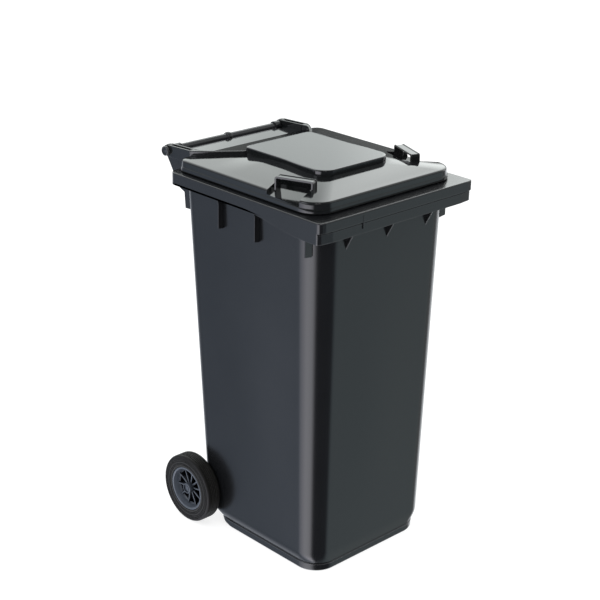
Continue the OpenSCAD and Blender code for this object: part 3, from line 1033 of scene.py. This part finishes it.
def moulded(name, colour, edge_wear_and_highlight, rough, grain=0.02, grain_size=900, metallic=0, sheen=0.5,
            painted_shade_reach=0):
    """Moulded surface: cloudy colour, uneven gloss and fine grain.

    Its edges are lighter: wear, and where the edge colour is raised a painted highlight; with a
    painted-shade reach it is instead painted dark and dull in its hollows (painted shade).
    """
    mat = bpy.data.materials.new(name)
    mat.use_nodes = True
    tree = mat.node_tree
    shader = tree.nodes["Principled BSDF"]
    shader.inputs["Metallic"].default_value = metallic
    shader.inputs["Specular IOR Level"].default_value = sheen
    place = tree.nodes.new("ShaderNodeTexCoord").outputs["Object"]
    cloud = node(tree, "ShaderNodeTexNoise", Scale=6.0, Detail=5.0, Roughness=0.6)
    fine = node(tree, "ShaderNodeTexNoise", Scale=grain_size, Detail=2.0)
    for texture in (cloud, fine):
        tree.links.new(place, texture.inputs["Vector"])
    clouded = mix_colour(tree, cloud.outputs["Fac"], [c * 0.8 for c in colour],
                         [c * 1.2 for c in colour])
    # Painted shade: hollows found by ambient occlusion turn near black and lose their reflection.
    if painted_shade_reach:
        around = node(tree, "ShaderNodeAmbientOcclusion", Distance=painted_shade_reach * MM)
        open_air = ramp(tree, around.outputs["AO"], 0.25, 0.6)
        base = mix_colour(tree, open_air, HOLLOW_SHADE, clouded)
        tree.links.new(maths(tree, "MULTIPLY", open_air, sheen), shader.inputs["Specular IOR Level"])
    else:
        # Edges found by pointiness are lightened: wear, and where the edge colour is raised a painted
        # highlight.
        geometry = tree.nodes.new("ShaderNodeNewGeometry")
        edge = ramp(tree, geometry.outputs["Pointiness"], 0.52, 0.6)
        base = mix_colour(tree, edge, clouded, edge_wear_and_highlight)
    tree.links.new(base, shader.inputs["Base Color"])
    gloss = ramp(tree, cloud.outputs["Fac"], 0, 1, rough * 0.85, rough * 1.15)
    tree.links.new(gloss, shader.inputs["Roughness"])
    bump = node(tree, "ShaderNodeBump", Strength=grain, Distance=0.5 * MM)
    tree.links.new(fine.outputs["Fac"], bump.inputs["Height"])
    tree.links.new(bump.outputs["Normal"], shader.inputs["Normal"])
    return mat


TUB_GREY = (0.006, 0.0065, 0.0075)
WHEEL_GREY = (0.07, 0.082, 0.104)
WORN_GREY = (0.02, 0.02, 0.022)

# The tub's edge colour is raised well past wear: a painted highlight on its rounded edges, where light
# catches.
tub_finish = moulded("tub_plastic", TUB_GREY, (0.1, 0.1, 0.105), 0.22)
rib_finish = moulded("rib_plastic", TUB_GREY, WORN_GREY, 0.22)
lid_finish = moulded("lid_plastic", (0.008, 0.009, 0.0095), WORN_GREY, 0.09)
bar_finish = moulded("bar_plastic", (0.02, 0.021, 0.024), (0.05, 0.05, 0.052), 0.25)
# The wheel gets painted shade in its hollows behind the spokes.
wheel_finish = moulded("wheel_plastic", WHEEL_GREY, WHEEL_GREY, 0.35, painted_shade_reach=60)
tyre_finish = moulded("tyre_rubber", (0.006, 0.0055, 0.005), (0.03, 0.03, 0.028), 0.6, 0.3, 500,
                      sheen=0.3)
steel_finish = moulded("bright_steel", (0.5, 0.5, 0.5), (0.7, 0.7, 0.7), 0.3, 0.05, 700, 1.0)

# ------------------------------------------------------------------ pieces

BODY = "container"
# (distance behind the rim's front, height of the foot, how far the root is sunk) of side ribs.
SIDE_RIBS = ((405, 920, 2), (263, 920, 2), (75, 930, 8))
LUG_PLACES = (62, 196)
GUSSET_PLACES = (-148, 0, 148)
COMB_WEBS = 13
COMB_WEB_PITCH = 37
TAB_X = -132


def finish_tub_parts(side_name, side):
    """Ribs, bracket, corner plate and axle lugs on one side of the tub."""
    for i, (back, bottom, sunk) in enumerate(SIDE_RIBS):
        rib = side_rib(f"side_rib_{side_name}_{i + 1}", side, FRONT_Y + back, bottom, sunk)
        finish_piece(rib, rib_finish, BODY, "body")
    bracket = hinge_bracket("hinge_bracket_" + side_name, side, 172, ARM_IN - 2, EYE_R - 5)
    finish_piece(bracket, rib_finish, BODY, "body")
    finish_piece(corner_plate("corner_plate_" + side_name, side), rib_finish, BODY, "body")
    for i, x in enumerate(LUG_PLACES):
        finish_piece(axle_lug(f"axle_lug_{side_name}_{i + 1}", side, x), rib_finish, BODY, "body")


def finish_lid_parts(side_name, side):
    """Ridge, hinge arm and grip strap on one side of the lid."""
    finish_piece(build_ridge("lid_ridge_" + side_name, side), lid_finish, "lid", "lid")
    finish_piece(build_arm("lid_arm_" + side_name, side), lid_finish, "lid", "lid")
    finish_piece(build_strap("grip_strap_" + side_name, side), lid_finish, "lid", "lid")


def finish_wheel_parts(side_name, side):
    """Hinge pin, wheel and tyre of one side."""
    body = "wheel_" + side_name
    finish_piece(build_pin("pivot_pin_" + side_name, side), tub_finish, BODY, "hinge_pin",
                 "hinge_pin_" + side_name)
    finish_piece(build_wheel("spoked_wheel_" + side_name, side), wheel_finish, body, "wheel",
                 "wheel_" + side_name)
    finish_piece(build_tyre("solid_tyre_" + side_name, side), tyre_finish, body, "tyre",
                 "tyre_" + side_name)


finish_piece(build_tub(), tub_finish, BODY, "body", "body")
for side_name, side in SIDES.items():
    finish_tub_parts(side_name, side)
finish_piece(hinge_bracket("hinge_bracket_middle", 1, -5, 5, 13.5), rib_finish, BODY, "body")
for i, x in enumerate(GUSSET_PLACES):
    finish_piece(comb_gusset(f"comb_gusset_{i + 1}", x), rib_finish, BODY, "body")
for i in range(COMB_WEBS):
    x = COMB_WEB_PITCH * (i - COMB_WEBS // 2)
    finish_piece(comb_web(f"comb_web_{i + 1}", x), rib_finish, BODY, "body")
finish_piece(comb_tab("comb_tab", TAB_X), rib_finish, BODY, "body")

finish_piece(build_lid_shell(), lid_finish, "lid", "lid", "lid")
finish_piece(build_panel(), lid_finish, "lid", "lid")
finish_piece(build_rear_flap(), lid_finish, "lid", "lid")
for side_name, side in SIDES.items():
    finish_lid_parts(side_name, side)

finish_piece(build_bar(), bar_finish, BODY, "handle_bar", "handle_bar")
for side_name, side in SIDES.items():
    finish_wheel_parts(side_name, side)

# The small parts keep their CAD meshes and get only a finish.
CAD_FINISHES = {"axle": steel_finish, "wheel_clip": steel_finish, "axle_washer": bar_finish,
                "hub_cap": wheel_finish}
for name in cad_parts:
    stem = name.removesuffix("_left").removesuffix("_right")
    if stem in CAD_FINISHES:
        kept = bpy.data.objects[name]
        kept.data.materials.clear()
        kept.data.materials.append(CAD_FINISHES[stem])

# ------------------------------------------------------- stage and lighting


def direction(azimuth, elevation):
    """Unit vector from the container toward a compass direction; 0 is the front."""
    a, e = math.radians(azimuth), math.radians(elevation)
    return Vector((math.sin(a) * math.cos(e), -math.cos(a) * math.cos(e), math.sin(e)))


def softbox(name, azimuth, elevation, distance, width, height, radiance, colour):
    """Rectangular light aimed at the container, hidden from the camera."""
    light = bpy.data.lights.new(name, "AREA")
    light.shape = "RECTANGLE"
    light.size, light.size_y = width, height
    light.energy = radiance * math.pi * width * height
    light.color = colour
    lamp = bpy.data.objects.new(name, light)
    way = direction(azimuth, elevation)
    lamp.location = Vector((0, 0, LIGHT_AIM_Z)) + way * distance
    lamp.rotation_mode = "QUATERNION"
    lamp.rotation_quaternion = way.to_track_quat("Z", "Y")
    lamp.visible_camera = False
    bpy.context.scene.collection.objects.link(lamp)


# Colour of the floor as polished plastic sees it, by compass direction in degrees.
FLOOR_BANDS = (
    (-180, (0.8, 0.85, 0.95)),
    (-165, (0.5, 0.55, 0.65)),
    (-146, (0.27, 0.33, 0.42)),
    (-140, (0.42, 0.5, 0.63)),
    (-135, (0.58, 0.69, 0.85)),
    (-128, (1.3, 1.4, 1.65)),
    (-110, (2.4, 2.4, 2.7)),
    (-92, (3.5, 3.5, 3.8)),
    (-66, (3.2, 3.2, 3.45)),
    (-59, (2.0, 2.0, 2.15)),
    (-50, (0.07, 0.07, 0.09)),
    (25, (0.07, 0.08, 0.1)),
    (33, (0.46, 0.56, 0.62)),
    (46, (0.56, 0.68, 0.72)),
    (60, (0.56, 0.62, 0.62)),
    (68, (0.3, 0.32, 0.32)),
    (80, (0.4, 0.42, 0.45)),
    (90, (1.6, 1.65, 1.7)),
    (130, (1.2, 1.25, 1.3)),
    (179, (0.8, 0.85, 0.95)),
)


def compass_colour(tree, east, north, bands):
    """Colour by compass direction from horizontal components, 0 being the front."""
    azimuth = maths(tree, "ARCTAN2", east, maths(tree, "MULTIPLY", north, -1))
    shades = tree.nodes.new("ShaderNodeValToRGB")
    stops = shades.color_ramp.elements
    stops.remove(stops[-1])
    stops[0].position = 0
    stops[0].color = (*bands[0][1], 1)
    for compass, colour in bands[1:]:
        stop = stops.new((compass + 180) / 360)
        stop.color = (*colour, 1)
    tree.links.new(ramp(tree, azimuth, -math.pi, math.pi), shades.inputs[0])
    return shades.outputs["Color"]


def show_to_polish(tree, plain, seen, out):
    """Wires the plain shader to the output, but the seen one for glossy rays."""
    path = tree.nodes.new("ShaderNodeLightPath")
    mix = tree.nodes.new("ShaderNodeMixShader")
    tree.links.new(path.outputs["Is Glossy Ray"], mix.inputs[0])
    tree.links.new(plain.outputs[0], mix.inputs[1])
    tree.links.new(seen.outputs[0], mix.inputs[2])
    tree.links.new(mix.outputs[0], out.inputs["Surface"])


def floor_finish():
    """Pale floor; polished parts see it lit unevenly round the container."""
    mat = bpy.data.materials.new("studio_floor")
    mat.use_nodes = True
    tree = mat.node_tree
    tree.nodes.clear()
    out = tree.nodes.new("ShaderNodeOutputMaterial")
    matte = node(tree, "ShaderNodeBsdfDiffuse", Color=(0.4, 0.4, 0.4, 1))
    glow = node(tree, "ShaderNodeEmission", Strength=0.78)
    plain = tree.nodes.new("ShaderNodeAddShader")
    tree.links.new(matte.outputs[0], plain.inputs[0])
    tree.links.new(glow.outputs[0], plain.inputs[1])
    seen = node(tree, "ShaderNodeEmission", Strength=1.0)
    split = tree.nodes.new("ShaderNodeSeparateXYZ")
    tree.links.new(tree.nodes.new("ShaderNodeNewGeometry").outputs["Incoming"], split.inputs[0])
    east = maths(tree, "MULTIPLY", split.outputs["X"], -1)
    north = maths(tree, "MULTIPLY", split.outputs["Y"], -1)
    tree.links.new(compass_colour(tree, east, north, FLOOR_BANDS), seen.inputs["Color"])
    show_to_polish(tree, plain, seen, out)
    return mat


# Colour of the studio's far side as polished plastic sees it, and the elevations in
# degrees over which it appears and fades into the ceiling's brightness.
BACKDROP_BANDS = (
    (-180, (1.9, 2.0, 1.97)),
    (-160, (0.9, 0.95, 1.0)),
    (-120, (0.5, 0.53, 0.6)),
    (-60, (0.1, 0.1, 0.1)),
    (20, (0.1, 0.1, 0.1)),
    (45, (0.8, 0.83, 0.83)),
    (88, (1.0, 1.05, 1.05)),
    (106, (2.2, 2.3, 2.27)),
    (127, (3.6, 3.75, 3.7)),
    (132, (2.4, 2.52, 2.5)),
    (135, (1.7, 1.8, 1.78)),
    (138, (1.55, 1.65, 1.63)),
    (142, (2.3, 2.42, 2.38)),
    (165, (2.2, 2.3, 2.27)),
    (180, (1.9, 2.0, 1.97)),
)
BACKDROP_RISE = (8, 14)
BACKDROP_FADE = (40, 58)
CEILING = 0.08


def studio_world():
    """White to the camera; polished parts see a bright backdrop behind and a dark ceiling."""
    world = bpy.data.worlds.new("studio")
    world.use_nodes = True
    tree = world.node_tree
    tree.nodes.clear()
    out = tree.nodes.new("ShaderNodeOutputWorld")
    plain = node(tree, "ShaderNodeBackground", Color=(1, 1, 1, 1), Strength=1.0)
    seen = node(tree, "ShaderNodeBackground")
    split = tree.nodes.new("ShaderNodeSeparateXYZ")
    tree.links.new(tree.nodes.new("ShaderNodeTexCoord").outputs["Generated"], split.inputs[0])
    colour = compass_colour(tree, split.outputs["X"], split.outputs["Y"], BACKDROP_BANDS)
    tree.links.new(colour, seen.inputs["Color"])
    height = maths(tree, "ARCSINE", split.outputs["Z"])
    rise = ramp(tree, height, *[math.radians(a) for a in BACKDROP_RISE])
    fade = ramp(tree, height, *[math.radians(a) for a in reversed(BACKDROP_FADE)])
    level = maths(tree, "MULTIPLY", rise, fade)
    tree.links.new(maths(tree, "MAXIMUM", level, CEILING), seen.inputs["Strength"])
    show_to_polish(tree, plain, seen, out)
    return world


# (name, azimuth, elevation, distance, width, height, radiance, colour) of each light; metres.
LIGHTS = (
    ("softbox_right", 75, 15, 4.0, 1.6, 1.4, 1.6, (1, 1, 1)),
    ("softbox_left", -100, 35, 3.5, 1.5, 2.2, 2.2, (0.9, 0.95, 1.0)),
    ("lamp_a", -40, 60, 3.0, 0.25, 0.25, 20, (1, 1, 1)),
    ("lamp_b", -20, 60, 3.0, 0.25, 0.25, 20, (1, 1, 1)),
)
LIGHT_AIM_Z = 0.7
FLOOR_HALF = 30000

CAMERA_AZIMUTH = -43.82
CAMERA_ELEVATION = 21.83
CAMERA_DISTANCE = 4.126
CAMERA_ROLL = 1.083
CAMERA_LENS = 88.94
# The aim point, as shares of the part's depth and height.
AIM_BACK = 0.0262
AIM_UP = 0.6006


def build_stage():
    """Floor, surroundings and lights."""
    corners = [(-1, -1), (1, -1), (1, 1), (-1, 1)]
    floor = make_object("floor", [(x * FLOOR_HALF, y * FLOOR_HALF, 0) for x, y in corners],
                        [(0, 1, 2, 3)])
    floor.data.materials.append(floor_finish())
    bpy.context.scene.world = studio_world()
    for light in LIGHTS:
        softbox(*light)


def build_camera():
    """Camera at the viewing angle, rolled a little and aimed above mid height."""
    height = cad_high.z
    depth = cad_high.y - cad_low.y
    target = Vector((0, AIM_BACK * depth, AIM_UP * height))
    way = direction(CAMERA_AZIMUTH, CAMERA_ELEVATION)
    roll = Matrix.Rotation(math.radians(CAMERA_ROLL), 3, "Z")
    data = bpy.data.cameras.new("camera")
    data.lens = CAMERA_LENS
    data.sensor_width = 36
    camera = bpy.data.objects.new("camera", data)
    camera.location = target + way * CAMERA_DISTANCE
    camera.rotation_mode = "QUATERNION"
    camera.rotation_quaternion = (way.to_track_quat("Z", "Y").to_matrix() @ roll).to_quaternion()
    bpy.context.scene.collection.objects.link(camera)
    bpy.context.scene.camera = camera


build_stage()
build_camera()
bpy.context.scene.view_settings.view_transform = "Standard"
